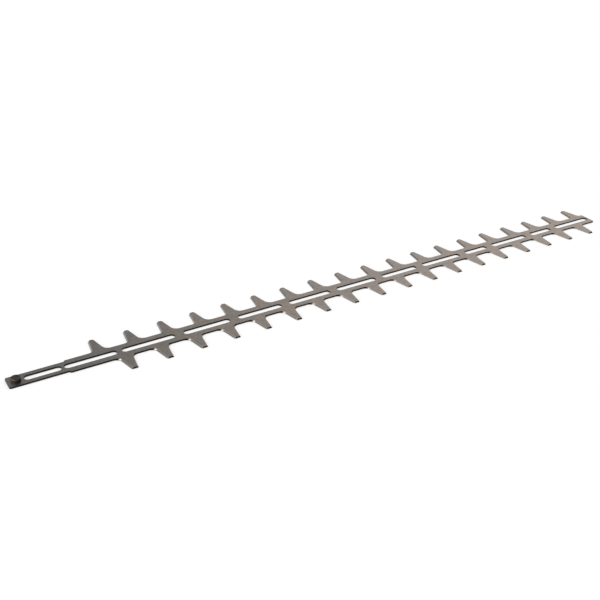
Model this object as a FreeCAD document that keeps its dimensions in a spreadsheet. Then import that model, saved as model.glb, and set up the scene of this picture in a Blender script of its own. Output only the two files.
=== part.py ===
"""Hedge trimmer blade: a punched steel strip with two rows of ground teeth, guide slots and a drive pin.

The strip lies flat with its underside at Z = 0 and its length along X, drive pin at the -X end.
Both bodies are drawn from the pin's axis and then moved so that the strip's middle is the origin.
"""
import FreeCAD
import Part
import Sketcher

import enum
import math
import os

# Driving dimensions in millimetres, each an alias in the sheet.
DIMENSIONS = (
    ("strip_thickness", 1.8, "sheet that the blade is punched from"),
    ("shank_width", 16.4, "plain shank at the driven end"),
    ("shank_length", 45.2, "pin axis to the foot of the shoulder"),
    ("shank_overhang", 8.0, "pin axis to the shank end"),
    ("shank_corner", 1.8, "corner radius of the shank end"),
    ("shoulder_run", 1.6, "length of the slope from shank to spine"),
    ("spine_width", 20.0, "spine between the two rows of teeth"),
    ("end_corner", 1.6, "corner radius of the far end"),
    ("far_teeth", 19, "teeth in the +Y row, the -Y row has one less"),
    ("tooth_pitch", 35.0, "tooth to tooth along each row"),
    ("far_row_start", 80.85, "pin axis to the first +Y tooth line"),
    ("near_row_start", 97.45, "pin axis to the first -Y tooth line"),
    ("tooth_reach", 31.2, "centre line to the tooth tips"),
    ("steep_tip", 4.75, "tooth line to the steep flank's cutting edge, at the tip"),
    ("steep_root", 7.95, "tooth line to the steep flank's cutting edge, at the spine"),
    ("slope_tip", 1.95, "tooth line to the sloped flank's cutting edge, at the tip"),
    ("slope_root", 6.25, "tooth line to the sloped flank's cutting edge, at the spine"),
    ("flank_bevel", 1.3, "width of the bevel ground on a flank, from its edge at the underside"),
    ("steep_corner", 1.2, "tip radius on the steep flank"),
    ("slope_corner", 1.5, "tip radius on the sloped flank"),
    ("steep_fillet", 5.0, "root radius under the steep flank"),
    ("slope_fillet", 7.2, "root radius under the sloped flank"),
    ("end_fillet", 5.2, "root radius under the last tooth's sloped flank"),
    ("root_land", 0.4, "spine edge drawn with each tooth, past its root fillets"),
    ("slot_width", 7.2, "guide slots, for the collars of the bar's bolts"),
    ("slot_start", 6.9, "pin axis to the first slot"),
    ("shank_slot", 34.0, "length of the slot in the shank"),
    ("guide_slot", 50.1, "length of the regular slots"),
    ("long_slot", 53.7, "length of the long slots"),
    ("middle_slot", 46.8, "length of the slot past the middle"),
    ("short_slot", 32.2, "length of the short slots near the tip"),
    ("shank_web", 2.4, "bridge between the first two slots"),
    ("shoulder_web", 4.8, "bridge between the second and third slot"),
    ("slot_web", 9.3, "bridge between the other slots"),
    ("end_wall", 2.7, "metal between the last slot and the far end"),
    ("pin_diameter", 9.0, "running diameter of the drive pin"),
    ("pin_height", 3.5, "pin above the strip"),
    ("pin_chamfer", 0.5, "break on the pin's top edge"),
    ("spigot_diameter", 6.4, "pin's tail through the strip"),
    ("rivet_flare", 0.7, "countersink that the tail is riveted into"),
)

# Bridge before each slot and its length, from the pin to the tip; one more slot runs to the end wall.
SLOT_CHAIN = (
    ("slot_start", "shank_slot"),
    ("shank_web", "guide_slot"),
    ("shoulder_web", "long_slot"),
    ("slot_web", "guide_slot"),
    ("slot_web", "guide_slot"),
    ("slot_web", "guide_slot"),
    ("slot_web", "guide_slot"),
    ("slot_web", "middle_slot"),
    ("slot_web", "long_slot"),
    ("slot_web", "short_slot"),
    ("slot_web", "long_slot"),
    ("slot_web", "short_slot"),
)

# Sizes that follow from the sheet, as expressions.
TOOTH_HEIGHT = "(dims.tooth_reach - dims.spine_width / 2)"
STEEP_SETBACK = f"tan(atan({TOOTH_HEIGHT} / (dims.steep_root - dims.steep_tip)) / 2)"
SLOPE_SETBACK = f"tan(atan({TOOTH_HEIGHT} / (dims.slope_root - dims.slope_tip)) / 2)"
LAST_TOOTH = "(dims.far_row_start + (floor(dims.far_teeth) - 1) * dims.tooth_pitch)"
LAST_ROOT = f"dims.slope_root - dims.flank_bevel + dims.end_fillet * {SLOPE_SETBACK} + dims.root_land"
FAR_END = f"({LAST_TOOTH} + {LAST_ROOT} + dims.end_corner)"
PIN_TO_MIDDLE = f"(({FAR_END} - dims.shank_overhang) / 2)"

# How far a tooth's flank is ground in, at the level where an outline is drawn.
BEVEL = "dims.flank_bevel"
NO_BEVEL = "0"


class Axis(enum.IntEnum):
    """A sketch's own X axis, as the sketch numbers it; it starts at the sketch's origin."""

    X = -1


class At(enum.IntEnum):
    """Points of a line or an arc, as the sketch numbers them."""

    START = 1
    END = 2
    CENTRE = 3


ORIGIN = (Axis.X, At.START)


def make_sheet(doc):
    """Fill the sheet of driving dimensions."""
    sheet = doc.addObject("Spreadsheet::Sheet", "dims")
    for row, (alias, size, use) in enumerate(DIMENSIONS, start=1):
        sheet.set(f"A{row}", alias)
        sheet.set(f"B{row}", str(size))
        sheet.set(f"C{row}", use)
        sheet.setAlias(f"B{row}", alias)
    doc.recompute()
    return sheet


def make_body(doc, label):
    """Start a body whose pin axis lies where the strip's middle becomes the origin."""
    body = doc.addObject("PartDesign::Body", label)
    body.Label = label
    body.setExpression("Placement.Base.x", f"-{PIN_TO_MIDDLE}")
    return body


def make_sketch(body, name, role):
    """Add an empty sketch on one of the body's own origin planes."""
    plane = next(item for item in body.Origin.OriginFeatures if item.Role == role)
    sketch = body.newObject("Sketcher::SketchObject", name)
    sketch.AttachmentSupport = [(plane, "")]
    sketch.MapMode = "FlatFace"
    return sketch


def size_of(sketch, expression):
    """Return what an expression of the sheet comes to, in millimetres."""
    return float(sketch.evalExpression(expression))


def bind(sketch, kind, expression, *geometry):
    """Add a dimension to the sketch and tie it to an expression of the sheet."""
    index = sketch.addConstraint(Sketcher.Constraint(kind, *geometry, size_of(sketch, expression)))
    sketch.setExpression(f"Constraints[{index}]", expression)


def place_point(sketch, geometry, point, x, y):
    """Dimension a point of the sketch from the sketch's origin."""
    bind(sketch, "DistanceX", x, *ORIGIN, geometry, point)
    bind(sketch, "DistanceY", y, *ORIGIN, geometry, point)


def corner_arc(before, corner, after, radius):
    """Return the arc that rounds a corner, its two tangent points and whether it turns left."""
    into = (corner - before).normalize()
    out = (after - corner).normalize()
    turn = math.atan2(into.x * out.y - into.y * out.x, into.dot(out))
    setback = radius * math.tan(abs(turn) / 2)
    first, last = corner - into * setback, corner + out * setback
    side = math.copysign(1, turn)
    centre = first + FreeCAD.Vector(-into.y, into.x, 0) * radius * side
    ends = (first, last) if side > 0 else (last, first)
    angles = [math.atan2(p.y - centre.y, p.x - centre.x) for p in ends]
    if angles[1] < angles[0]:
        angles[1] += 2 * math.pi
    circle = Part.Circle(centre, FreeCAD.Vector(0, 0, 1), radius)
    return Part.ArcOfCircle(circle, *angles), first, last, side > 0


def draw_outline(sketch, corners):
    """Draw a closed outline through (x, y, radius) corners; a radius of None leaves the corner sharp."""
    count = len(corners)
    points = [FreeCAD.Vector(size_of(sketch, x), size_of(sketch, y)) for x, y, radius in corners]
    arrive, leave = list(points), list(points)
    arcs = {}
    for i, (x, y, radius) in enumerate(corners):
        if radius is None:
            continue
        around = (points[i - 1], points[i], points[(i + 1) % count])
        arc, arrive[i], leave[i], turns_left = corner_arc(*around, size_of(sketch, radius))
        arcs[i] = (sketch.addGeometry(arc), turns_left)
    lines = []
    for i in range(count):
        lines.append(sketch.addGeometry(Part.LineSegment(leave[i], arrive[(i + 1) % count])))
    for i, (x, y, radius) in enumerate(corners):
        before, after = lines[i - 1], lines[i]
        if radius is None:
            sketch.addConstraint(Sketcher.Constraint("Coincident", before, At.END, after, At.START))
            place_point(sketch, after, At.START, x, y)
            continue
        arc, turns_left = arcs[i]
        first, last = (At.START, At.END) if turns_left else (At.END, At.START)
        sketch.addConstraint(Sketcher.Constraint("Tangent", before, At.END, arc, first))
        sketch.addConstraint(Sketcher.Constraint("Tangent", arc, last, after, At.START))
        bind(sketch, "Radius", radius, arc)
        apex = sketch.addGeometry(Part.Point(points[i]), True)
        sketch.addConstraint(Sketcher.Constraint("PointOnObject", apex, At.START, before))
        sketch.addConstraint(Sketcher.Constraint("PointOnObject", apex, At.START, after))
        place_point(sketch, apex, At.START, x, y)


def draw_slot(sketch, start, end, width):
    """Draw one round-ended slot along the centre line."""
    end_radius = f"{width} / 2"
    left_centre, right_centre = f"{start} + {end_radius}", f"{end} - {end_radius}"
    radius = size_of(sketch, end_radius)
    left = FreeCAD.Vector(size_of(sketch, left_centre), 0, 0)
    right = FreeCAD.Vector(size_of(sketch, right_centre), 0, 0)
    side = FreeCAD.Vector(0, radius, 0)
    normal = FreeCAD.Vector(0, 0, 1)
    quarter = math.pi / 2
    left_arc = sketch.addGeometry(Part.ArcOfCircle(Part.Circle(left, normal, radius), quarter, 3 * quarter))
    right_arc = sketch.addGeometry(Part.ArcOfCircle(Part.Circle(right, normal, radius), -quarter, quarter))
    near = sketch.addGeometry(Part.LineSegment(left - side, right - side))
    far = sketch.addGeometry(Part.LineSegment(right + side, left + side))
    sketch.addConstraint([
        Sketcher.Constraint("Tangent", left_arc, At.END, near, At.START),
        Sketcher.Constraint("Tangent", near, At.END, right_arc, At.START),
        Sketcher.Constraint("Tangent", right_arc, At.END, far, At.START),
        Sketcher.Constraint("Tangent", far, At.END, left_arc, At.START),
        Sketcher.Constraint("Equal", left_arc, right_arc),
        Sketcher.Constraint("PointOnObject", left_arc, At.CENTRE, Axis.X),
        Sketcher.Constraint("PointOnObject", right_arc, At.CENTRE, Axis.X),
    ])
    bind(sketch, "Radius", end_radius, left_arc)
    bind(sketch, "DistanceX", left_centre, *ORIGIN, left_arc, At.CENTRE)
    bind(sketch, "DistanceX", right_centre, *ORIGIN, right_arc, At.CENTRE)


def add_spine(body):
    """Punch out shank, shoulders and spine."""
    spine = "dims.spine_width / 2"
    shank = "dims.shank_width / 2"
    shoulder = "dims.shank_length + dims.shoulder_run"
    near_side = [
        ("-dims.shank_overhang", f"-{shank}", "dims.shank_corner"),
        ("dims.shank_length", f"-{shank}", None),
        (shoulder, f"-{spine}", None),
        (FAR_END, f"-{spine}", "dims.end_corner"),
    ]
    far_side = [(x, y[1:], radius) for x, y, radius in reversed(near_side)]
    sketch = make_sketch(body, "SpineOutline", "XY_Plane")
    draw_outline(sketch, near_side + far_side)
    pad = body.newObject("PartDesign::Pad", "Spine")
    pad.Profile = sketch
    pad.setExpression("Length", "dims.strip_thickness")


def tooth_corners(side, tooth_line, slope_fillet, steep_inset, slope_inset):
    """Corners of one tooth; side is 1 for the +Y row and -1 for the -Y row, turned half round."""
    root = "dims.spine_width / 2"
    bed = "dims.spine_width / 4"
    steep_end = f"-(dims.steep_root + dims.steep_fillet * {STEEP_SETBACK} + dims.root_land)"
    slope_end = f"(dims.slope_root + {slope_fillet} * {SLOPE_SETBACK} + dims.root_land)"
    corners = [
        (steep_end, bed, None),
        (slope_end, bed, None),
        (slope_end, root, None),
        (f"dims.slope_root - {slope_inset}", root, slope_fillet),
        (f"dims.slope_tip - {slope_inset}", "dims.tooth_reach", "dims.slope_corner"),
        (f"{steep_inset} - dims.steep_tip", "dims.tooth_reach", "dims.steep_corner"),
        (f"{steep_inset} - dims.steep_root", root, "dims.steep_fillet"),
        (steep_end, root, None),
    ]
    return [(f"{tooth_line} + {side} * ({x})", f"{side} * ({y})", radius) for x, y, radius in corners]


def add_tooth(body, name, side, tooth_line, slope_fillet, slope_edge=NO_BEVEL):
    """Add one tooth to the spine; its ground flanks lean in from their edges at the underside.

    The bevels run out in the root fillets, and the tip and the spine's edge stay square.
    """
    underside = make_sketch(body, f"{name}Underside", "XY_Plane")
    draw_outline(underside, tooth_corners(side, tooth_line, slope_fillet, NO_BEVEL, slope_edge))
    face = make_sketch(body, f"{name}Face", "XY_Plane")
    face.setExpression("AttachmentOffset.Base.z", "dims.strip_thickness")
    draw_outline(face, tooth_corners(side, tooth_line, slope_fillet, BEVEL, BEVEL))
    tooth = body.newObject("PartDesign::AdditiveLoft", name)
    tooth.Profile = underside
    tooth.Sections = [face]
    tooth.Ruled = True
    return tooth


def add_tooth_row(body, name, side, tooth_line, count):
    """Add the first tooth of a row and repeat it along the spine."""
    tooth = add_tooth(body, f"{name}Tooth", side, tooth_line, "dims.slope_fillet")
    body.Document.recompute()
    axis = next(item for item in body.Origin.OriginFeatures if item.Role == "X_Axis")
    pattern = body.newObject("PartDesign::LinearPattern", f"{name}Row")
    pattern.Originals = [tooth]
    pattern.Direction = (axis, [""])
    pattern.Mode = "Spacing"
    pattern.setExpression("Offset", "dims.tooth_pitch")
    pattern.setExpression("Occurrences", count)
    body.Tip = pattern


def add_slots(body):
    """Cut the chain of guide slots, as many as the strip has room for."""
    sketch = make_sketch(body, "SlotOutlines", "XY_Plane")
    width = "dims.slot_width"
    last_end = f"{FAR_END} - dims.end_wall"
    room = size_of(sketch, last_end)
    reached = "0"
    for bridge, length in SLOT_CHAIN:
        start = f"{reached} + dims.{bridge}"
        end = f"{start} + dims.{length}"
        if size_of(sketch, end) > room:
            break
        draw_slot(sketch, start, end, width)
        reached = end
    start = f"{reached} + dims.slot_web"
    if size_of(sketch, f"{start} + 2 * {width}") < room:
        draw_slot(sketch, start, last_end, width)
    pocket = body.newObject("PartDesign::Pocket", "Slots")
    pocket.Profile = sketch
    pocket.Type = "ThroughAll"
    pocket.Reversed = True


def spigot_corners():
    """Half section of the pin's riveted tail, shared by the pin and its seat."""
    tail = "dims.spigot_diameter / 2"
    return [
        ("0", "0", None),
        (f"{tail} + dims.rivet_flare", "0", None),
        (tail, "dims.rivet_flare", None),
        (tail, "dims.strip_thickness", None),
    ]


def add_pin_seat(body):
    """Cut the countersunk hole that the pin's tail is riveted into."""
    sketch = make_sketch(body, "PinSeatSection", "XZ_Plane")
    draw_outline(sketch, spigot_corners() + [("0", "dims.strip_thickness", None)])
    groove = body.newObject("PartDesign::Groove", "PinSeat")
    groove.Profile = sketch
    groove.ReferenceAxis = (sketch, ["V_Axis"])


def make_blade(doc):
    """Build the strip: spine, two rows of teeth, slots and the seat of the pin.

    The last tooth's outer flank meets no other tooth, so it stays square from face to underside.
    """
    body = make_body(doc, "blade")
    add_spine(body)
    row_count = "floor(dims.far_teeth) - 1"
    add_tooth_row(body, "Far", 1, "dims.far_row_start", row_count)
    add_tooth_row(body, "Near", -1, "dims.near_row_start", row_count)
    add_tooth(body, "LastTooth", 1, LAST_TOOTH, "dims.end_fillet", BEVEL)
    doc.recompute()
    for cut in (add_slots, add_pin_seat):
        before = body.Shape.Volume
        cut(body)
        doc.recompute()
        if body.Shape.Volume >= before:
            raise RuntimeError(f"{cut.__name__} removed nothing")
    return body


def make_drive_pin(doc):
    """Turn the drive pin: riveted tail, shoulder on the strip and a chamfered running part."""
    body = make_body(doc, "drive_pin")
    radius = "dims.pin_diameter / 2"
    top = "dims.strip_thickness + dims.pin_height"
    sketch = make_sketch(body, "PinSection", "XZ_Plane")
    draw_outline(sketch, spigot_corners() + [
        (radius, "dims.strip_thickness", None),
        (radius, f"{top} - dims.pin_chamfer", None),
        (f"{radius} - dims.pin_chamfer", top, None),
        ("0", top, None),
    ])
    turned = body.newObject("PartDesign::Revolution", "Turned")
    turned.Profile = sketch
    turned.ReferenceAxis = (sketch, ["V_Axis"])
    doc.recompute()
    return body


def check_document(doc, bodies):
    """Stop if any object failed or any sub-part isn't one valid solid."""
    for item in doc.Objects:
        if {"Invalid", "Error"} & set(item.State):
            raise RuntimeError(f"{item.Name} failed: {item.State}")
    for body in bodies:
        shape = body.Shape
        if shape.isNull() or not shape.isValid() or len(shape.Solids) != 1:
            raise RuntimeError(f"{body.Label} is not one valid solid")


def main():
    doc = FreeCAD.newDocument("hedge_trimmer_blade")
    make_sheet(doc)
    bodies = [make_blade(doc), make_drive_pin(doc)]
    doc.recompute()
    check_document(doc, bodies)
    os.makedirs("parts", exist_ok=True)
    for body in bodies:
        body.Shape.exportStep(os.path.join("parts", f"{body.Label}.step"))
        box = body.Shape.BoundBox
        print(f"{body.Label}: {box.XLength:.2f} x {box.YLength:.2f} x {box.ZLength:.2f} mm, "
              f"x {box.XMin:.2f} to {box.XMax:.2f}, volume {body.Shape.Volume:.1f} mm3")


main()
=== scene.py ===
"""Looks of a hedge trimmer blade: the punched strip, its drive pin and a plain studio around them.

Lengths are in metres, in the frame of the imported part: the strip lies along X with its underside at
Z = 0, the drive pin stands at the -X end, and the row with one more tooth points to +Y.
"""
import math

import bmesh
import bpy
from mathutils import Matrix, Vector


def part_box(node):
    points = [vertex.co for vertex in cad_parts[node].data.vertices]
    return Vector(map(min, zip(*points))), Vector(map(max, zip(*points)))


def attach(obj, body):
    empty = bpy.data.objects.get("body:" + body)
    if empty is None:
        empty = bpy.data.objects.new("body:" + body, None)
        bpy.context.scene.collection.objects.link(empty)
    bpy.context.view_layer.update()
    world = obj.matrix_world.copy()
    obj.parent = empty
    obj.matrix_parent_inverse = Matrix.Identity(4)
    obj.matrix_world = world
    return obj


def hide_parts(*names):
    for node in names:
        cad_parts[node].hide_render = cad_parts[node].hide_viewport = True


bl_info = {
    "name": "Hedge trimmer blade",
    "version": (1, 0, 0),
    "blender": (4, 5, 0),
    "location": "View3D > Sidebar > Trimmer",
    "description": "Makes a hedge trimmer blade with its drive pin, and the studio it is shown in",
    "category": "Object",
}

SENSOR_WIDTH = 36.0
NODE_COLUMN, NODE_ROW = 220, 180

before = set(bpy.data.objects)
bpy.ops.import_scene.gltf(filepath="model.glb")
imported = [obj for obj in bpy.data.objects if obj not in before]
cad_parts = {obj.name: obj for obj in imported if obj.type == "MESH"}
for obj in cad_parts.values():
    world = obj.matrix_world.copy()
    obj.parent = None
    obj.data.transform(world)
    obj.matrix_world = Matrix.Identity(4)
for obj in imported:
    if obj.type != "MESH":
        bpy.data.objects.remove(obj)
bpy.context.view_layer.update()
STRIP_LOW, STRIP_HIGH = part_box("blade")
PIN_LOW, PIN_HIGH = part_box("drive_pin")
PIN_AXIS = (PIN_LOW.x + PIN_HIGH.x) / 2

# Settings that name the bridge before each slot and the slot's length, from the pin to the tip.
SLOT_CHAIN = (
    ("slot_start", "shank_slot"),
    ("shank_web", "guide_slot"),
    ("shoulder_web", "long_slot"),
    ("slot_web", "guide_slot"),
    ("slot_web", "guide_slot"),
    ("slot_web", "guide_slot"),
    ("slot_web", "guide_slot"),
    ("slot_web", "middle_slot"),
    ("slot_web", "long_slot"),
    ("slot_web", "short_slot"),
    ("slot_web", "long_slot"),
    ("slot_web", "short_slot"),
)


def distance(name, description, default):
    """Declare a length that a user may change."""
    return bpy.props.FloatProperty(
        name=name, description=description, default=default, min=0.0, subtype="DISTANCE", precision=5
    )


def colour(name, description, default):
    """Declare a colour that a user may change."""
    return bpy.props.FloatVectorProperty(
        name=name, description=description, default=default, min=0.0, max=1.0, size=3, subtype="COLOR"
    )


def share(name, description, default):
    """Declare a number from 0 to 1 that a user may change."""
    return bpy.props.FloatProperty(
        name=name, description=description, default=default, min=0.0, max=1.0, subtype="FACTOR"
    )


class StripSizes(bpy.types.PropertyGroup):
    """Sizes of the punched strip, measured along X from the pin's axis."""

    thickness: distance("Thickness", "Sheet that the strip is punched from", STRIP_HIGH.z)
    edge_roll: distance("Edge Roll", "Radius that punching and tumbling leave on every edge", 0.00008)
    shank_end: distance("Shank End", "Pin axis back to the shank end", PIN_AXIS - STRIP_LOW.x)
    shank_width: distance("Shank Width", "Plain shank at the driven end", 0.0164)
    shank_corner: distance("Shank Corner", "Corner radius of the shank end", 0.0018)
    shoulder: distance("Shoulder", "Pin axis to the foot of the shoulder", 0.0452)
    shoulder_run: distance("Shoulder Run", "Length of the slope from shank to spine", 0.0016)
    shoulder_corner: distance("Shoulder Corner", "Radius at both ends of that slope", 0.0003)
    spine_width: distance("Spine Width", "Spine between the rows of teeth", 0.02)
    far_end: distance("Far End", "Pin axis to the far end", STRIP_HIGH.x - PIN_AXIS)
    end_corner: distance("End Corner", "Corner radius of the far end", 0.0016)
    teeth: bpy.props.IntProperty(
        name="Teeth", description="Teeth in the +Y row, the other row has one less", default=19, min=2
    )
    pitch: distance("Pitch", "Tooth to tooth along each row", 0.035)
    far_row: distance("Far Row", "Pin axis to the first +Y tooth line", 0.08085)
    near_row: distance("Near Row", "Pin axis to the first -Y tooth line", 0.09745)
    reach: distance("Reach", "Centre line to the tooth tips", STRIP_HIGH.y)
    steep_tip: distance("Steep Tip", "Tooth line to the steep flank's edge at the tip", 0.00475)
    steep_root: distance("Steep Root", "Tooth line to the steep flank's edge at the spine", 0.00795)
    slope_tip: distance("Slope Tip", "Tooth line to the sloped flank's edge at the tip", 0.00195)
    slope_root: distance("Slope Root", "Tooth line to the sloped flank's edge at the spine", 0.00625)
    flank_bevel: distance("Flank Bevel", "Lean of a ground flank, underside to face", 0.0013)
    steep_corner: distance("Steep Corner", "Tip radius on the steep flank", 0.0012)
    slope_corner: distance("Slope Corner", "Tip radius on the sloped flank", 0.0015)
    steep_fillet: distance("Steep Fillet", "Root radius under the steep flank", 0.005)
    slope_fillet: distance("Slope Fillet", "Root radius under the sloped flank", 0.0072)
    end_fillet: distance("End Fillet", "Root radius under the last tooth's sloped flank", 0.0052)
    slot_width: distance("Slot Width", "Guide slots along the centre line", 0.0072)
    slot_start: distance("Slot Start", "Pin axis to the first slot", 0.0069)
    shank_slot: distance("Shank Slot", "Length of the slot in the shank", 0.034)
    guide_slot: distance("Guide Slot", "Length of the regular slots", 0.0501)
    long_slot: distance("Long Slot", "Length of the long slots", 0.0537)
    middle_slot: distance("Middle Slot", "Length of the slot past the middle", 0.0468)
    short_slot: distance("Short Slot", "Length of the short slots near the tip", 0.0322)
    shank_web: distance("Shank Web", "Bridge between the first two slots", 0.0024)
    shoulder_web: distance("Shoulder Web", "Bridge between the second and third slot", 0.0048)
    slot_web: distance("Slot Web", "Bridge between the other slots", 0.0093)
    end_wall: distance("End Wall", "Metal between the last slot and the far end", 0.0027)
    arc_steps: bpy.props.IntProperty(
        name="Arc Steps", description="Points on each rounded corner of the outline", default=10, min=2
    )
    roll_steps: bpy.props.IntProperty(
        name="Roll Steps", description="Points across each rolled edge", default=3, min=1
    )


class PinSizes(bpy.types.PropertyGroup):
    """Sizes of the turned drive pin."""

    radius: distance("Radius", "Running radius", (PIN_HIGH.x - PIN_LOW.x) / 2)
    top: distance("Top", "Top face above the strip's underside", PIN_HIGH.z)
    chamfer: distance("Chamfer", "Break on the top edge", 0.00035)
    chamfer_round: distance("Chamfer Round", "Radius on both sides of that break", 0.00015)
    tail_radius: distance("Tail Radius", "Riveted tail, flush with the underside", 0.0039)
    tail_gap: distance("Tail Gap", "Hairline around the riveted tail", 0.00004)
    steps: bpy.props.IntProperty(name="Steps", description="Steps around the pin", default=96, min=12)


class Finishes(bpy.types.PropertyGroup):
    """Colours and gloss of the metal."""

    face: colour("Face", "Ground and hardened faces of the strip", (0.365, 0.340, 0.320))
    face_warm: colour("Face Warm", "Warm heat tint on the faces", (0.440, 0.357, 0.310))
    face_cool: colour("Face Cool", "Cool heat tint on the faces", (0.283, 0.299, 0.293))
    face_scale: colour("Face Scale", "Fine scale from hardening on the faces", (0.205, 0.190, 0.176))
    face_roughness: share("Face Roughness", "Gloss of the faces", 0.36)
    # The near-black wall colours are painted shade: they stand in for the shade that the walls facing
    # the camera sit in; the brighter streaks are real shear marks.
    wall: colour("Wall", "Punched walls of teeth, slots and spine", (0.017, 0.015, 0.013))
    wall_bare: colour("Wall Bare", "Brighter streaks on the punched walls", (0.034, 0.030, 0.027))
    wall_roughness: share("Wall Roughness", "Gloss of the punched walls", 0.45)
    ground: colour("Ground", "Ground flanks of the teeth", (0.305, 0.283, 0.263))
    ground_roughness: share("Ground Roughness", "Gloss of the ground flanks", 0.30)
    pin: colour("Pin", "Blackened and oiled pin", (0.014, 0.012, 0.0105))
    # Painted light: the pin's side towards the shank end is painted lighter, as the side where the
    # light falls.
    pin_thin: colour("Pin Thin", "Thinner black on the side of the shank end", (0.085, 0.070, 0.061))
    # Painted light: the top is a lighter black than the side, for the light on the face that looks up.
    pin_top: colour("Pin Top", "Black on the pin's top", (0.040, 0.033, 0.029))
    # Real worn spots plus painted light: a lighter top and a painted highlight on the rim, both
    # towards the shank end where the light falls.
    pin_worn: colour("Pin Worn", "Worn spots on the pin's top", (0.230, 0.190, 0.168))
    pin_roughness: share("Pin Roughness", "Gloss of the pin", 0.38)


class Studio(bpy.types.PropertyGroup):
    """View, floor and light."""

    eye: bpy.props.FloatVectorProperty(
        name="Eye", description="Where the camera stands", default=(-0.48397, -0.65381, 0.44968),
        size=3, subtype="TRANSLATION",
    )
    heading: bpy.props.FloatProperty(
        name="Heading", description="Turn of the view from +Y towards +X",
        default=math.radians(32.7254), subtype="ANGLE",
    )
    dip: bpy.props.FloatProperty(
        name="Dip", description="How far the view looks down",
        default=math.radians(29.972), subtype="ANGLE",
    )
    roll: bpy.props.FloatProperty(
        name="Roll", description="Lean of the camera", default=math.radians(1.922), subtype="ANGLE"
    )
    lens: bpy.props.FloatProperty(
        name="Lens", description="Focal length for a 36 mm sensor, in mm", default=51.965, min=1.0
    )
    floor: colour("Floor", "Pale floor", (0.620, 0.640, 0.663))
    floor_glow: share("Floor Glow", "White that the floor shows by itself", 0.55)
    right_side: colour("Right Side", "Light from the +X side", (0.870, 0.811, 0.772))
    left_side: colour("Left Side", "Light from high up on the -X side", (1.0, 0.945, 0.905))
    dim_side: colour("Dim Side", "Light from all other sides", (0.275, 0.282, 0.286))
    sky_strength: bpy.props.FloatProperty(
        name="Sky Strength", description="Strength of the light from all sides", default=1.2, min=0.0
    )
    softbox_place: bpy.props.FloatVectorProperty(
        name="Softbox Place", description="Where the soft lamp hangs", default=(-4.50, -1.34, 1.58),
        size=3, subtype="TRANSLATION",
    )
    softbox_aim: bpy.props.FloatVectorProperty(
        name="Softbox Aim", description="Point that the soft lamp faces", default=(-0.2, 0.0, 0.0),
        size=3, subtype="TRANSLATION",
    )
    softbox_width: distance("Softbox Width", "Width of the soft lamp", 2.0)
    softbox_height: distance("Softbox Height", "Height of the soft lamp", 1.0)
    softbox_power: bpy.props.FloatProperty(
        name="Softbox Power", description="Power of the soft lamp", default=44.0, min=0.0, unit="POWER"
    )


class Field:
    """A number inside a node tree; arithmetic on it adds Math nodes."""

    def __init__(self, tree, socket):
        self.tree = tree
        self.socket = socket

    def math(self, operation, *others):
        """Put this number and others through one Math node."""
        made = self.tree.nodes.new("ShaderNodeMath")
        made.operation = operation
        for socket, part in zip(made.inputs, (self, *others)):
            plug(self.tree, socket, part)
        return Field(self.tree, made.outputs["Value"])

    def __add__(self, other):
        return self.math("ADD", other)

    def __sub__(self, other):
        return self.math("SUBTRACT", other)

    def __mul__(self, other):
        return self.math("MULTIPLY", other)

    def __truediv__(self, other):
        return self.math("DIVIDE", other)

    def __neg__(self):
        return self.math("MULTIPLY", -1.0)


def plug(tree, socket, part):
    """Give a socket a link, where the part comes from another node, or else a plain value."""
    if isinstance(part, Field):
        part = part.socket
    if isinstance(part, bpy.types.NodeSocket):
        tree.links.new(part, socket)
    else:
        socket.default_value = part


def add(tree, kind, inputs=None, **settings):
    """Add a node with its settings and inputs, named or numbered."""
    made = tree.nodes.new(kind)
    for name, setting in settings.items():
        setattr(made, name, setting)
    for name, part in (inputs or {}).items():
        plug(tree, made.inputs[name], part)
    return made


def arrange(tree):
    """Lay the nodes out in columns, each to the right of the nodes that feed it."""
    column = {made.name: 0 for made in tree.nodes}
    for _ in tree.nodes:
        for link in tree.links:
            before, after = link.from_node.name, link.to_node.name
            column[after] = max(column[after], column[before] + 1)
    filled = {}
    for made in tree.nodes:
        place = column[made.name]
        made.location = (NODE_COLUMN * place, -NODE_ROW * filled.get(place, 0))
        filled[place] = filled.get(place, 0) + 1


def pick(tree, index, parts):
    """Return the part whose place in the list the index gives."""
    made = add(tree, "GeometryNodeIndexSwitch", data_type="FLOAT")
    while len(made.index_switch_items) < len(parts):
        made.index_switch_items.new()
    plug(tree, made.inputs["Index"], index)
    for place, part in enumerate(parts):
        plug(tree, made.inputs[str(place)], part)
    return Field(tree, made.outputs["Output"])


def ramp(tree, value, low, high):
    """Return a soft step from 0 at the low value to 1 at the high one."""
    made = add(
        tree, "ShaderNodeMapRange", {"Value": value, "From Min": low, "From Max": high},
        interpolation_type="SMOOTHSTEP",
    )
    return Field(tree, made.outputs["Result"])


def store(tree, geometry, name, value, data_type="FLOAT", domain="POINT"):
    """Return geometry that carries a value under a name."""
    made = add(
        tree, "GeometryNodeStoreNamedAttribute",
        {"Geometry": geometry, "Name": name},
        data_type=data_type, domain=domain,
    )
    plug(tree, made.inputs["Value"], value)
    return made.outputs["Geometry"]


def carried(tree, name, data_type="FLOAT"):
    """Return the value that geometry carries under a name."""
    made = add(tree, "GeometryNodeInputNamedAttribute", {"Name": name}, data_type=data_type)
    return Field(tree, made.outputs["Attribute"])


def own_index(tree):
    """Return the place of each point in its list."""
    return Field(tree, add(tree, "GeometryNodeInputIndex").outputs["Index"])


def part_of(tree, vector, axis):
    """Return one part of a vector."""
    return Field(tree, add(tree, "ShaderNodeSeparateXYZ", {"Vector": vector}).outputs[axis])


def corner_points(tree, count, x, y, radius, order):
    """Return points at (x, y) that carry their corner's radius and their place in the outline."""
    place = add(tree, "ShaderNodeCombineXYZ", {"X": x, "Y": y}).outputs["Vector"]
    points = add(tree, "GeometryNodePoints", {"Count": count, "Position": place, "Radius": radius})
    return store(tree, points.outputs["Points"], "order", order)


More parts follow.
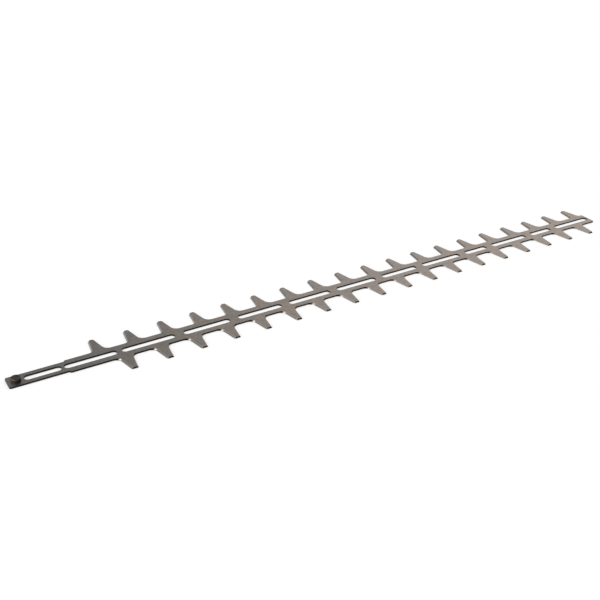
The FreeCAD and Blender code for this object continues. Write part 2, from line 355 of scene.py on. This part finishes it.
def rounded_outline(tree, points, steps, group=None, closed=True):
    """Join points into outlines and round each corner by the radius that it carries."""
    order = carried(tree, "order")
    curves = add(tree, "GeometryNodePointsToCurves", {"Points": points, "Weight": order})
    if group is not None:
        plug(tree, curves.inputs["Curve Group ID"], group)
    lines = curves.outputs["Curves"]
    cyclic = add(tree, "GeometryNodeSetSplineCyclic", {"Geometry": lines, "Cyclic": closed})
    radius = add(tree, "GeometryNodeInputRadius").outputs["Radius"]
    rounded = add(
        tree, "GeometryNodeFilletCurve",
        {"Curve": cyclic.outputs["Geometry"], "Count": steps, "Radius": radius}, mode="POLY",
    )
    return rounded.outputs["Curve"]


def new_group(name, kind, inputs, outputs):
    """Start a node group and return it, its inputs by name and its output node."""
    tree = bpy.data.node_groups.new(name, kind)
    for label, socket in inputs:
        tree.interface.new_socket(label, in_out="INPUT", socket_type=socket)
    for label, socket in outputs:
        tree.interface.new_socket(label, in_out="OUTPUT", socket_type=socket)
    return tree, tree.nodes.new("NodeGroupInput").outputs, tree.nodes.new("NodeGroupOutput")


TOOTH_CORNERS, SLOPE_CORNERS = 4, 2
OWN_SIZES = ("First Tooth", "First Order", "Last Fillet", "Last Square")
ROW_SIZES = (
    "Pitch", "Reach", "Spine Width", "Steep Tip", "Steep Root", "Slope Tip", "Slope Root",
    "Steep Corner", "Slope Corner", "Steep Fillet", "Slope Fillet", "Flank Bevel",
)


def make_tooth_row():
    """Build the node group that puts out the corners of one row of teeth, in order along +X.

    Each corner carries how far it leans along X from the underside up to the face.
    """
    inputs = [("Teeth", "NodeSocketInt")]
    inputs += [(name, "NodeSocketFloat") for name in (*OWN_SIZES, *ROW_SIZES)]
    tree, group_inputs, group_output = new_group(
        "Tooth row", "GeometryNodeTree", inputs, [("Corners", "NodeSocketGeometry")]
    )
    sizes = {name: Field(tree, group_inputs[name]) for name, socket in inputs}
    half_step = 0.5
    index = own_index(tree)
    corner = index.math("MODULO", TOOTH_CORNERS)
    tooth = (index / TOOTH_CORNERS).math("FLOOR")
    count = sizes["Teeth"] * TOOTH_CORNERS
    root = sizes["Spine Width"] / 2
    is_last = index.math("COMPARE", count - 1, half_step)
    slope_fillet = sizes["Slope Fillet"] + is_last * (sizes["Last Fillet"] - sizes["Slope Fillet"])
    bevel = sizes["Flank Bevel"]
    on_last_slope = index.math("GREATER_THAN", count - (SLOPE_CORNERS + half_step))
    square = on_last_slope * sizes["Last Square"]
    slope_tip, slope_root = (sizes[name] - bevel * square for name in ("Slope Tip", "Slope Root"))
    slope_lean = bevel * (square - 1)
    radii = (sizes["Steep Fillet"], sizes["Steep Corner"], sizes["Slope Corner"], slope_fillet)
    side = pick(tree, corner, (-sizes["Steep Root"], -sizes["Steep Tip"], slope_tip, slope_root))
    points = corner_points(
        tree,
        count,
        sizes["First Tooth"] + tooth * sizes["Pitch"] + side,
        pick(tree, corner, (root, sizes["Reach"], sizes["Reach"], root)),
        pick(tree, corner, radii),
        sizes["First Order"] + index,
    )
    lean = pick(tree, corner, (bevel, bevel, slope_lean, slope_lean))
    plug(tree, group_output.inputs["Corners"], store(tree, points, "lean", lean))
    arrange(tree)
    return tree


def add_tooth_row(tree, group, sizes, own):
    """Place one row of teeth in the strip's tree."""
    row = add(tree, "GeometryNodeGroup", node_tree=group)
    shared = {name: sizes[name] for name in ROW_SIZES}
    for name, part in {**shared, **own}.items():
        plug(tree, row.inputs[name], part)
    return row.outputs["Corners"]


def strip_outline(tree, sizes):
    """Return the strip's outline: shank, far row, far end and near row, clockwise from above."""
    far_first, end_first, near_first, shoulder_first = 10.0, 1000.0, 2000.0, 3000.0
    spine, shank = sizes["Spine Width"] / 2, sizes["Shank Width"] / 2
    shoulder, shoulder_top = sizes["Shoulder"], sizes["Shoulder"] + sizes["Shoulder Run"]
    bend = sizes["Shoulder Corner"]
    plain_corners = (
        (-sizes["Shank End"], -shank, sizes["Shank Corner"], 0.0),
        (-sizes["Shank End"], shank, sizes["Shank Corner"], 1.0),
        (shoulder, shank, bend, 2.0),
        (shoulder_top, spine, bend, 3.0),
        (sizes["Far End"], spine, sizes["End Corner"], end_first),
        (sizes["Far End"], -spine, sizes["End Corner"], end_first + 1),
        (shoulder_top, -spine, bend, shoulder_first),
        (shoulder, -shank, bend, shoulder_first + 1),
    )
    index = own_index(tree)
    columns = [pick(tree, index, column) for column in zip(*plain_corners)]
    plain = corner_points(tree, len(plain_corners), *columns)
    row_group = make_tooth_row()
    far = add_tooth_row(tree, row_group, sizes, {
        "Teeth": sizes["Teeth"], "First Tooth": sizes["Far Row"], "First Order": far_first,
        "Last Fillet": sizes["End Fillet"], "Last Square": 1.0,
    })
    near_teeth = sizes["Teeth"] - 1
    near_last = sizes["Near Row"] + (near_teeth - 1) * sizes["Pitch"]
    near = add_tooth_row(tree, row_group, sizes, {
        "Teeth": near_teeth, "First Tooth": -near_last, "First Order": near_first,
        "Last Fillet": sizes["Slope Fillet"], "Last Square": 0.0,
    })
    turned = add(tree, "GeometryNodeTransform", {"Geometry": near, "Rotation": (0.0, 0.0, math.pi)})
    near_turned = store(tree, turned.outputs["Geometry"], "lean", -carried(tree, "lean"))
    joined = add(tree, "GeometryNodeJoinGeometry")
    for points in (plain, far, near_turned):
        plug(tree, joined.inputs["Geometry"], points)
    return rounded_outline(tree, joined.outputs["Geometry"], sizes["Arc Steps"])


def cut_outlines(tree, cuts, sizes):
    """Return a round-ended outline for each cut-out, anticlockwise from above.

    Each point of the cuts gives the cut-out's start, and carries its length and width.
    """
    corners = 4
    shy_of_half = 0.4995
    index = own_index(tree)
    cut, corner = (index / corners).math("FLOOR"), index.math("MODULO", corners)

    def of_cut(field, data_type="FLOAT"):
        sample = add(
            tree, "GeometryNodeSampleIndex", {"Geometry": cuts, "Index": cut},
            data_type=data_type, domain="POINT",
        )
        plug(tree, sample.inputs["Value"], field)
        return sample.outputs["Value"]

    place = of_cut(add(tree, "GeometryNodeInputPosition").outputs["Position"], "FLOAT_VECTOR")
    start = part_of(tree, place, "X")
    length, width = (Field(tree, of_cut(carried(tree, name))) for name in ("length", "width"))
    number = add(tree, "GeometryNodeAttributeDomainSize", {"Geometry": cuts}, component="MESH")
    points = corner_points(
        tree,
        Field(tree, number.outputs["Point Count"]) * corners,
        start + pick(tree, corner, (0.0, length, length, 0.0)),
        pick(tree, corner, (-width / 2, -width / 2, width / 2, width / 2)),
        width * shy_of_half,
        index,
    )
    return rounded_outline(tree, points, sizes["Arc Steps"], group=cut)


def edge_section(tree, sizes):
    """Return the section of the strip's edge: face, rolled edge, wall, rolled edge, face."""
    half, roll = sizes["Thickness"] / 2, sizes["Edge Roll"]
    index = own_index(tree)
    shy_of_whole = 0.98
    arc = roll * shy_of_whole
    corners = ((roll, half, 0.0), (0.0, half, arc), (0.0, -half, arc), (roll, -half, 0.0))
    columns = [pick(tree, index, column) for column in zip(*corners)]
    points = corner_points(tree, len(corners), *columns, index)
    return rounded_outline(tree, points, sizes["Roll Steps"], closed=False)


def mark_flanks(tree, outlines, sizes):
    """Mark the ground flanks of the teeth, from the rounded tips to where the wheel ran out."""
    root_starts, root_full = 0.55, 0.7
    tip_starts, tip_full = 0.1, 0.6
    normal = add(tree, "GeometryNodeInputNormal").outputs["Normal"]
    place = add(tree, "GeometryNodeInputPosition").outputs["Position"]
    sideways = part_of(tree, normal, "X").math("ABSOLUTE")
    outwards = part_of(tree, place, "Y").math("ABSOLUTE")
    leaning = carried(tree, "lean").math("ABSOLUTE").math("GREATER_THAN", 0.0)
    corner = sizes["Slope Corner"]
    past_root = ramp(tree, sideways, root_starts, root_full)
    # Towards the tips the flanks fade back to the near-black wall colour, painted shade that also
    # damps the softbox's glint on the tip corners.
    below_tip = ramp(tree, sizes["Reach"] - outwards, corner * tip_starts, corner * tip_full)
    return store(tree, outlines, "ground", past_root * leaning * below_tip)


def leaning_walls(tree, outlines, sizes):
    """Return the walls that stand on the outlines, with rolled edges and leaning flanks."""
    half = sizes["Thickness"] / 2
    walls = add(
        tree, "GeometryNodeCurveToMesh",
        {"Curve": mark_flanks(tree, outlines, sizes), "Profile Curve": edge_section(tree, sizes)},
    ).outputs["Mesh"]
    place = add(tree, "GeometryNodeInputPosition").outputs["Position"]
    rise = (part_of(tree, place, "Z") + half) / sizes["Thickness"]
    slant = add(tree, "ShaderNodeCombineXYZ", {"X": carried(tree, "lean") * rise}).outputs["Vector"]
    leaned = add(tree, "GeometryNodeSetPosition", {"Geometry": walls, "Offset": slant})
    return store(tree, leaned.outputs["Geometry"], "wall", True, "BOOLEAN", "FACE")


def flat_faces(tree, outlines, sizes):
    """Return the upper and the lower face, which end where the rolled edges start."""
    half = sizes["Thickness"] / 2
    inward = add(tree, "GeometryNodeInputNormal").outputs["Normal"]
    inset = add(
        tree, "ShaderNodeVectorMath", {0: inward, "Scale": sizes["Edge Roll"]}, operation="SCALE"
    ).outputs["Vector"]
    shrunk = add(tree, "GeometryNodeSetPosition", {"Geometry": outlines, "Offset": inset})
    faces = []
    for level, lean in ((half, carried(tree, "lean")), (-half, 0.0)):
        shift = add(tree, "ShaderNodeCombineXYZ", {"X": lean}).outputs["Vector"]
        shifted = add(
            tree, "GeometryNodeSetPosition", {"Geometry": shrunk.outputs["Geometry"], "Offset": shift}
        ).outputs["Geometry"]
        flat = add(tree, "GeometryNodeFillCurve", {"Curve": shifted}, mode="TRIANGLES").outputs["Mesh"]
        lift = add(tree, "ShaderNodeCombineXYZ", {"Z": level}).outputs["Vector"]
        lifted = add(tree, "GeometryNodeTransform", {"Geometry": flat, "Translation": lift})
        faces.append(lifted.outputs["Geometry"])
    return faces


def make_strip_tree(settings, face, wall):
    """Build the node tree that punches the strip out of sheet, with rolled edges."""
    weld = 3e-6
    inputs = [("Cuts", "NodeSocketGeometry")]
    for item in settings.bl_rna.properties:
        if item.type in {"FLOAT", "INT"}:
            inputs.append((item.name, "NodeSocketInt" if item.type == "INT" else "NodeSocketFloat"))
    tree, group_inputs, group_output = new_group(
        "Punched strip", "GeometryNodeTree", inputs, [("Strip", "NodeSocketGeometry")]
    )
    sizes = {name: Field(tree, group_inputs[name]) for name, socket in inputs[1:]}
    drawn = add(tree, "GeometryNodeJoinGeometry")
    for outline in (strip_outline(tree, sizes), cut_outlines(tree, group_inputs["Cuts"], sizes)):
        plug(tree, drawn.inputs["Geometry"], outline)
    outlines = add(
        tree, "GeometryNodeSetCurveNormal", {"Curve": drawn.outputs["Geometry"]}, mode="Z_UP"
    ).outputs["Curve"]
    joined = add(tree, "GeometryNodeJoinGeometry")
    for shell in (leaning_walls(tree, outlines, sizes), *flat_faces(tree, outlines, sizes)):
        plug(tree, joined.inputs["Geometry"], shell)
    strip = joined.outputs["Geometry"]
    is_wall = carried(tree, "wall", "BOOLEAN")
    half = sizes["Thickness"] / 2
    rest = add(tree, "ShaderNodeCombineXYZ", {"X": PIN_AXIS, "Z": half}).outputs["Vector"]
    for kind, extra in (
        ("GeometryNodeMergeByDistance", {"Distance": weld}),
        ("GeometryNodeTransform", {"Translation": rest}),
        ("GeometryNodeSetShadeSmooth", {"Shade Smooth": is_wall}),
        ("GeometryNodeRealizeInstances", {}),
        ("GeometryNodeSetMaterial", {"Material": face}),
        ("GeometryNodeSetMaterial", {"Selection": is_wall, "Material": wall}),
    ):
        strip = add(tree, kind, {"Geometry": strip, **extra}).outputs["Geometry"]
    plug(tree, group_output.inputs["Strip"], strip)
    arrange(tree)
    return tree


def slot_ends(sizes):
    """Return the start and length of each slot, from the pin to the far end."""
    slots, reached = [], 0.0
    for bridge, length in SLOT_CHAIN:
        start = reached + getattr(sizes, bridge)
        reached = start + getattr(sizes, length)
        slots.append((start, getattr(sizes, length)))
    last_start = reached + sizes.slot_web
    slots.append((last_start, sizes.far_end - sizes.end_wall - last_start))
    return slots


def make_cuts(name, sizes, pin):
    """Return an object with one point for each cut-out, the slots and the seat of the pin."""
    seat = pin.tail_radius + pin.tail_gap
    cuts = [(start, length, sizes.slot_width) for start, length in slot_ends(sizes)]
    cuts.append((-seat, 2 * seat, 2 * seat))
    mesh = bpy.data.meshes.new(name)
    mesh.from_pydata([(start, 0.0, 0.0) for start, length, width in cuts], [], [])
    for place, key in ((1, "length"), (2, "width")):
        attribute = mesh.attributes.new(key, "FLOAT", "POINT")
        attribute.data.foreach_set("value", [cut[place] for cut in cuts])
    made = bpy.data.objects.new(name, mesh)
    bpy.context.scene.collection.objects.link(made)
    return made


def settle_mesh(made):
    """Turn an object's evaluated shape into its own plain mesh, with all faces outwards."""
    bpy.context.view_layer.update()
    depsgraph = bpy.context.evaluated_depsgraph_get()
    evaluated = made.evaluated_get(depsgraph)
    mesh = bpy.data.meshes.new_from_object(
        evaluated, preserve_all_data_layers=True, depsgraph=depsgraph
    )
    made.modifiers.clear()
    made.data = mesh
    shell = bmesh.new()
    shell.from_mesh(mesh)
    bmesh.ops.recalc_face_normals(shell, faces=shell.faces)
    open_edges = [edge for edge in shell.edges if len(edge.link_faces) != 2]
    shell.to_mesh(mesh)
    shell.free()
    if open_edges or not mesh.polygons:
        raise RuntimeError(f"{made.name} is not a closed shell, {len(open_edges)} edges are open")
    mesh.name = made.name


def make_mottle():
    """Build the shader group of soft stains and tints on steel."""
    tree, group_inputs, group_output = new_group(
        "Steel mottle", "ShaderNodeTree",
        [("Vector", "NodeSocketVector"), ("Scale", "NodeSocketFloat")],
        [("Tint", "NodeSocketFloat"), ("Stain", "NodeSocketFloat")],
    )
    shift = (3.1, 7.7, 1.3)
    crispness, none_below, full_above = 0.6, 0.32, 0.68
    place, scale = group_inputs["Vector"], group_inputs["Scale"]
    moved = add(tree, "ShaderNodeVectorMath", {0: place, 1: shift}, operation="ADD").outputs["Vector"]
    for name, vector, detail in (("Tint", place, 2.0), ("Stain", moved, 5.0)):
        noise = add(
            tree, "ShaderNodeTexNoise",
            {"Vector": vector, "Scale": scale, "Detail": detail, "Roughness": crispness},
        )
        amount = ramp(tree, noise.outputs["Fac"], none_below, full_above)
        plug(tree, group_output.inputs[name], amount)
    arrange(tree)
    return tree


def make_tool_marks():
    """Build the shader group of fine parallel marks that a tool leaves along X."""
    tree, group_inputs, group_output = new_group(
        "Tool marks", "ShaderNodeTree",
        [("Vector", "NodeSocketVector"), ("Lines", "NodeSocketFloat"), ("Length", "NodeSocketFloat")],
        [("Height", "NodeSocketFloat"), ("Streak", "NodeSocketFloat")],
    )
    detail, crispness = 3.0, 0.6
    lines = Field(tree, group_inputs["Lines"])
    along = lines / group_inputs["Length"]
    for name, density in (("Height", 1.0), ("Streak", 0.3)):
        across = lines * density
        scale = add(tree, "ShaderNodeCombineXYZ", {"X": along * density, "Y": across, "Z": across})
        stretched = add(
            tree, "ShaderNodeVectorMath",
            {0: group_inputs["Vector"], 1: scale.outputs["Vector"]}, operation="MULTIPLY",
        ).outputs["Vector"]
        noise = add(
            tree, "ShaderNodeTexNoise",
            {"Vector": stretched, "Scale": 1.0, "Detail": detail, "Roughness": crispness},
        )
        plug(tree, group_output.inputs[name], noise.outputs["Fac"])
    arrange(tree)
    return tree


EFFECTS = {"Steel mottle": make_mottle, "Tool marks": make_tool_marks}


def add_effect(tree, name, inputs):
    """Add a shader group, built on its first use, and return its outputs."""
    group = bpy.data.node_groups.get(name) or EFFECTS[name]()
    return add(tree, "ShaderNodeGroup", inputs, node_tree=group).outputs


def opaque(shade):
    """Add full alpha to a plain colour; a socket stays as it is."""
    return shade if isinstance(shade, bpy.types.NodeSocket) else (*shade, 1.0)


def blend_colours(tree, amount, first, second):
    """Return a colour between two others."""
    made = add(tree, "ShaderNodeMix", data_type="RGBA")
    plug(tree, made.inputs["Factor"], amount)
    plug(tree, made.inputs["A"], opaque(first))
    plug(tree, made.inputs["B"], opaque(second))
    return made.outputs["Result"]


def new_metal(name):
    """Start a metal material and return it, its tree, its shader and its object coordinates."""
    material = bpy.data.materials.new(name)
    material.use_nodes = True
    tree = material.node_tree
    tree.nodes.clear()
    shader = add(tree, "ShaderNodeBsdfPrincipled", {"Metallic": 1.0})
    output = add(tree, "ShaderNodeOutputMaterial")
    tree.links.new(shader.outputs["BSDF"], output.inputs["Surface"])
    return material, tree, shader, add(tree, "ShaderNodeTexCoord").outputs["Object"]


def finish_metal(tree, shader, shade, roughness, height, depth):
    """Give a metal its colour, gloss and relief."""
    bump = add(tree, "ShaderNodeBump", {"Height": height, "Distance": depth, "Strength": 1.0})
    plug(tree, shader.inputs["Base Color"], shade)
    plug(tree, shader.inputs["Roughness"], roughness)
    plug(tree, shader.inputs["Normal"], bump.outputs["Normal"])
    arrange(tree)


def streaked(tree, marks, gloss, spread):
    """Return a roughness that the tool's streaks vary about its middle."""
    return Field(tree, marks["Streak"]) * spread + (gloss - spread / 2)


def make_face_steel(look):
    """Ground face: grey on the shank, warm from hardening past it, with grinding lines along X."""
    grey_until, warm_from = PIN_AXIS + 0.05, PIN_AXIS + 0.13
    tint_scale, speck_scale, lines, length = 120.0, 420.0, 5000.0, 60.0
    cool_share, speck_share, gloss_spread, relief = 0.6, 0.5, 0.16, 4e-6
    material, tree, shader, place = new_metal("hardened_face")
    heated = ramp(tree, part_of(tree, place, "X"), grey_until, warm_from)
    tints = add_effect(tree, "Steel mottle", {"Vector": place, "Scale": tint_scale})
    specks = add_effect(tree, "Steel mottle", {"Vector": place, "Scale": speck_scale})
    marks = add_effect(tree, "Tool marks", {"Vector": place, "Lines": lines, "Length": length})
    shade = blend_colours(tree, heated * tints["Tint"], look.face, look.face_warm)
    shade = blend_colours(tree, Field(tree, tints["Stain"]) * cool_share, shade, look.face_cool)
    shade = blend_colours(tree, Field(tree, specks["Stain"]) * speck_share, shade, look.face_scale)
    roughness = streaked(tree, marks, look.face_roughness, gloss_spread)
    finish_metal(tree, shader, shade, roughness, marks["Height"], relief)
    return material


def make_wall_steel(look):
    """Punched wall: painted near-black as shade, dull, with brighter shear marks, and ground on the
    teeth's flanks.
    """
    stain_scale, lines, length = 150.0, 3000.0, 12.0
    gloss_spread, relief = 0.2, 1.2e-5
    material, tree, shader, place = new_metal("punched_wall")
    turn = (0.0, math.pi / 2, 0.0)
    upright = add(tree, "ShaderNodeMapping", {"Vector": place, "Rotation": turn}).outputs["Vector"]
    marks = add_effect(tree, "Tool marks", {"Vector": upright, "Lines": lines, "Length": length})
    mottle = add_effect(tree, "Steel mottle", {"Vector": place, "Scale": stain_scale})
    bare = Field(tree, mottle["Stain"]) * marks["Streak"]
    ground = add(tree, "ShaderNodeAttribute", attribute_name="ground").outputs["Fac"]
    # Painted shade: the punched walls take the near-black wall colours; the ground flanks keep the
    # steel's own colour.
    punched = blend_colours(tree, bare, look.wall, look.wall_bare)
    shade = blend_colours(tree, ground, punched, look.ground)
    polish = look.ground_roughness - look.wall_roughness
    gloss = Field(tree, ground) * polish + look.wall_roughness
    roughness = streaked(tree, marks, gloss, gloss_spread)
    finish_metal(tree, shader, shade, roughness, marks["Height"], relief)
    return material


def make_pin_steel(look, pin):
    """Blackened pin: nearly black with turning rings and worn spots; painted light makes its top and
    the side towards the shank end lighter, with a painted highlight on the rim there.
    """
    stain_scale, lines, length = 400.0, 9000.0, 60.0
    stain_wear, rim_highlight, top_light = 0.6, 0.6, 0.1
    gloss_spread, relief = 0.16, 8e-6
    turned_away, turned_to = -0.7 * pin.radius, 0.7 * pin.radius
    rim_from, rim_full = pin.radius - 1.8 * pin.chamfer, pin.radius - 0.8 * pin.chamfer
    side_until, top_from = pin.top - pin.chamfer, pin.top - 0.5 * pin.chamfer
    material, tree, shader, place = new_metal("blackened_pin")
    move = (-PIN_AXIS, 0.0, 0.0)
    centred = add(tree, "ShaderNodeMapping", {"Vector": place, "Location": move}).outputs["Vector"]
    across, deep, height = (part_of(tree, centred, axis) for axis in "XYZ")
    reach = (across * across + deep * deep).math("SQRT")
    ring = add(tree, "ShaderNodeCombineXYZ", {"Y": reach, "Z": height}).outputs["Vector"]
    marks = add_effect(tree, "Tool marks", {"Vector": ring, "Lines": lines, "Length": length})
    mottle = add_effect(tree, "Steel mottle", {"Vector": place, "Scale": stain_scale})
    # Painted light: lit_side grows towards the shank end, where the light falls; it lightens the pin's
    # side and, with the rim, its top.
    lit_side = ramp(tree, -across, turned_away, turned_to)
    rim = ramp(tree, reach, rim_from, rim_full)
    # Random worn spots, plus painted light and a painted rim highlight on the side towards the shank
    # end.
    wear_and_light = Field(tree, mottle["Stain"]) * stain_wear + lit_side * (rim * rim_highlight + top_light)
    side = blend_colours(tree, lit_side, look.pin, look.pin_thin)
    top = blend_colours(tree, wear_and_light, look.pin_top, look.pin_worn)
    # Painted light: the top takes a lighter black than the side.
    shade = blend_colours(tree, ramp(tree, height, side_until, top_from), side, top)
    roughness = streaked(tree, marks, look.pin_roughness, gloss_spread)
    finish_metal(tree, shader, shade, roughness, marks["Height"], relief)
    return material


def rounded_profile(corners, steps=4):
    """Return the points of a turned section with (radius, height, rounding) corners."""
    points = []
    for i, (radius, height, rounding) in enumerate(corners):
        here = Vector((radius, height))
        if not rounding:
            points.append(here)
            continue
        before = (Vector(corners[i - 1][:2]) - here).normalized()
        after = (Vector(corners[i + 1][:2]) - here).normalized()
        for step in range(steps + 1):
            along = step / steps
            pull = (1 - along) ** 2 * before + along ** 2 * after
            points.append(here + pull * rounding)
    return points


def turn_section(name, points, axis_x, steps, material):
    """Turn a section about the vertical axis at axis_x into a closed mesh object."""
    weld, crease = 1e-7, math.radians(35)
    shell = bmesh.new()
    line = [shell.verts.new((axis_x + point.x, 0.0, point.y)) for point in points]
    edges = [shell.edges.new(pair) for pair in zip(line, line[1:])]
    bmesh.ops.spin(
        shell, geom=line + edges, cent=(axis_x, 0.0, 0.0), axis=(0.0, 0.0, 1.0),
        dvec=(0.0, 0.0, 0.0), angle=2 * math.pi, steps=steps, use_merge=True,
    )
    bmesh.ops.remove_doubles(shell, verts=shell.verts, dist=weld)
    bmesh.ops.recalc_face_normals(shell, faces=shell.faces)
    mesh = bpy.data.meshes.new(name)
    shell.to_mesh(mesh)
    shell.free()
    mesh.shade_smooth()
    mesh.set_sharp_from_angle(angle=crease)
    mesh.materials.append(material)
    made = bpy.data.objects.new(name, mesh)
    bpy.context.scene.collection.objects.link(made)
    return made


class TRIMMER_OT_make_strip(bpy.types.Operator):
    """Punch the strip: spine, teeth, slots and the seat of the pin"""

    bl_idname = "trimmer.make_strip"
    bl_label = "Make strip"

    def execute(self, context):
        sizes, look = context.scene.trimmer_strip, context.scene.trimmer_finishes
        made = make_cuts("punched_strip", sizes, context.scene.trimmer_pin)
        tree = make_strip_tree(sizes, make_face_steel(look), make_wall_steel(look))
        modifier = made.modifiers.new("Punched strip", "NODES")
        modifier.node_group = tree
        settings = {item.name: item.identifier for item in sizes.bl_rna.properties}
        for item in tree.interface.items_tree:
            if item.in_out == "INPUT" and item.name in settings:
                modifier[item.identifier] = getattr(sizes, settings[item.name])
        settle_mesh(made)
        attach(made, "root")
        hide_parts("blade")
        return {"FINISHED"}


class TRIMMER_OT_make_pin(bpy.types.Operator):
    """Turn the drive pin with its riveted tail"""

    bl_idname = "trimmer.make_pin"
    bl_label = "Make drive pin"

    def execute(self, context):
        pin, look = context.scene.trimmer_pin, context.scene.trimmer_finishes
        strip_top = context.scene.trimmer_strip.thickness
        hair = pin.tail_gap
        section = rounded_profile((
            (0.0, hair, 0.0),
            (pin.tail_radius, hair, 3 * hair),
            (pin.tail_radius, strip_top, 0.0),
            (pin.radius, strip_top, 0.0),
            (pin.radius, pin.top - pin.chamfer, pin.chamfer_round),
            (pin.radius - pin.chamfer, pin.top, pin.chamfer_round),
            (0.0, pin.top, 0.0),
        ))
        made = turn_section("turned_pin", section, PIN_AXIS, pin.steps, make_pin_steel(look, pin))
        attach(made, "root")
        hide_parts("drive_pin")
        return {"FINISHED"}


def make_floor(studio):
    """Lay a wide round pale floor just under the strip, with a rim that bends up all round."""
    reach, bend, drop = 5.0, 0.8, 0.0002
    around, bend_steps = 64, 6
    shell = bmesh.new()
    low = Matrix.Translation((0.0, 0.0, -drop))
    bmesh.ops.create_circle(shell, cap_ends=True, radius=reach, segments=around, matrix=low)
    rim = list(shell.edges)
    for step in range(1, bend_steps + 1):
        lean = math.pi / 2 * step / bend_steps
        radius, height = reach + bend * math.sin(lean), bend * (1 - math.cos(lean)) - drop
        grown = bmesh.ops.extrude_edge_only(shell, edges=rim)["geom"]
        for point in (item for item in grown if isinstance(item, bmesh.types.BMVert)):
            flat = point.co.xy.normalized() * radius
            point.co = (flat.x, flat.y, height)
        rim = [item for item in grown if isinstance(item, bmesh.types.BMEdge)]
    mesh = bpy.data.meshes.new("floor")
    shell.to_mesh(mesh)
    shell.free()
    mesh.shade_smooth()
    material = bpy.data.materials.new("pale_floor")
    material.use_nodes = True
    tree = material.node_tree
    tree.nodes.clear()
    seen = add(tree, "ShaderNodeLightPath").outputs
    by_eye = Field(tree, seen["Is Camera Ray"]).math("MAXIMUM", seen["Is Glossy Ray"])
    by_eye = by_eye.math("MAXIMUM", seen["Is Transmission Ray"])
    paint = add(tree, "ShaderNodeBsdfDiffuse", {"Color": opaque(studio.floor)})
    glow = add(tree, "ShaderNodeEmission", {"Strength": by_eye * studio.floor_glow})
    both = add(tree, "ShaderNodeAddShader", {0: paint.outputs[0], 1: glow.outputs[0]})
    add(tree, "ShaderNodeOutputMaterial", {"Surface": both.outputs[0]})
    arrange(tree)
    mesh.materials.append(material)
    floor = bpy.data.objects.new("floor", mesh)
    bpy.context.scene.collection.objects.link(floor)


def make_world(studio):
    """Light the studio from all sides, most from +X and from high up on the -X side."""
    left_from, left_full, right_from, right_full = 0.1, 0.6, 0.15, 0.65
    world = bpy.data.worlds.new("studio")
    world.use_nodes = True
    tree = world.node_tree
    tree.nodes.clear()
    direction = add(tree, "ShaderNodeTexCoord").outputs["Generated"]
    right, height = (part_of(tree, direction, axis) for axis in "XZ")
    from_left = ramp(tree, -right, left_from, left_full) * ramp(tree, height, left_from, left_full)
    from_right = ramp(tree, right, right_from, right_full)
    shade = blend_colours(tree, from_right, studio.dim_side, studio.right_side)
    shade = blend_colours(tree, from_left, shade, studio.left_side)
    light = add(tree, "ShaderNodeBackground", {"Color": shade, "Strength": studio.sky_strength})
    add(tree, "ShaderNodeOutputWorld", {"Surface": light.outputs[0]})
    arrange(tree)
    bpy.context.scene.world = world


def make_softbox(studio):
    """Hang the soft lamp and turn it to the point that it faces."""
    lamp = bpy.data.lights.new("left_softbox", "AREA")
    lamp.shape = "RECTANGLE"
    lamp.size, lamp.size_y = studio.softbox_width, studio.softbox_height
    lamp.energy = studio.softbox_power
    made = bpy.data.objects.new("left_softbox", lamp)
    place, aim = Vector(studio.softbox_place), Vector(studio.softbox_aim)
    made.location = place
    made.rotation_euler = (aim - place).to_track_quat("-Z", "Y").to_euler()
    bpy.context.scene.collection.objects.link(made)


def make_camera(studio):
    """Set the camera where the picture was taken from."""
    camera = bpy.data.cameras.new("camera")
    camera.sensor_width = SENSOR_WIDTH
    camera.lens = studio.lens
    made = bpy.data.objects.new("camera", camera)
    turn = Matrix.Rotation(-studio.heading, 4, "Z")
    tip = Matrix.Rotation(math.pi / 2 - studio.dip, 4, "X")
    lean = Matrix.Rotation(studio.roll, 4, "Z")
    made.matrix_world = Matrix.Translation(studio.eye) @ turn @ tip @ lean
    bpy.context.scene.collection.objects.link(made)
    bpy.context.scene.camera = made


class TRIMMER_OT_make_stage(bpy.types.Operator):
    """Set up floor, light and camera"""

    bl_idname = "trimmer.make_stage"
    bl_label = "Make stage"

    def execute(self, context):
        studio = context.scene.trimmer_studio
        make_floor(studio)
        make_world(studio)
        make_softbox(studio)
        make_camera(studio)
        context.scene.view_settings.view_transform = "Standard"
        return {"FINISHED"}


class TRIMMER_PT_sidebar(bpy.types.Panel):
    """Lists what the blade is made of"""

    bl_idname = "TRIMMER_PT_sidebar"
    bl_label = "Trimmer blade"
    bl_space_type = "VIEW_3D"
    bl_region_type = "UI"
    bl_category = "Trimmer"

    def draw(self, context):
        for operator in OPERATORS:
            self.layout.operator(operator.bl_idname)
        for key in SETTINGS:
            group = getattr(context.scene, key)
            box = self.layout.box()
            box.label(text=group.bl_rna.description)
            for item in group.bl_rna.properties:
                if item.identifier not in {"rna_type", "name"}:
                    box.prop(group, item.identifier)


SETTINGS = {
    "trimmer_strip": StripSizes,
    "trimmer_pin": PinSizes,
    "trimmer_finishes": Finishes,
    "trimmer_studio": Studio,
}
OPERATORS = (TRIMMER_OT_make_strip, TRIMMER_OT_make_pin, TRIMMER_OT_make_stage)
CLASSES = (*SETTINGS.values(), *OPERATORS, TRIMMER_PT_sidebar)


def register():
    """Register the classes and give every scene the settings."""
    for item in CLASSES:
        bpy.utils.register_class(item)
    for key, group in SETTINGS.items():
        setattr(bpy.types.Scene, key, bpy.props.PointerProperty(type=group))


def unregister():
    """Take the settings and the classes away again."""
    for key in SETTINGS:
        delattr(bpy.types.Scene, key)
    for item in reversed(CLASSES):
        bpy.utils.unregister_class(item)


def main():
    """Make the blade and its studio."""
    register()
    bpy.ops.trimmer.make_strip()
    bpy.ops.trimmer.make_pin()
    bpy.ops.trimmer.make_stage()


if __name__ == "__main__":
    main()
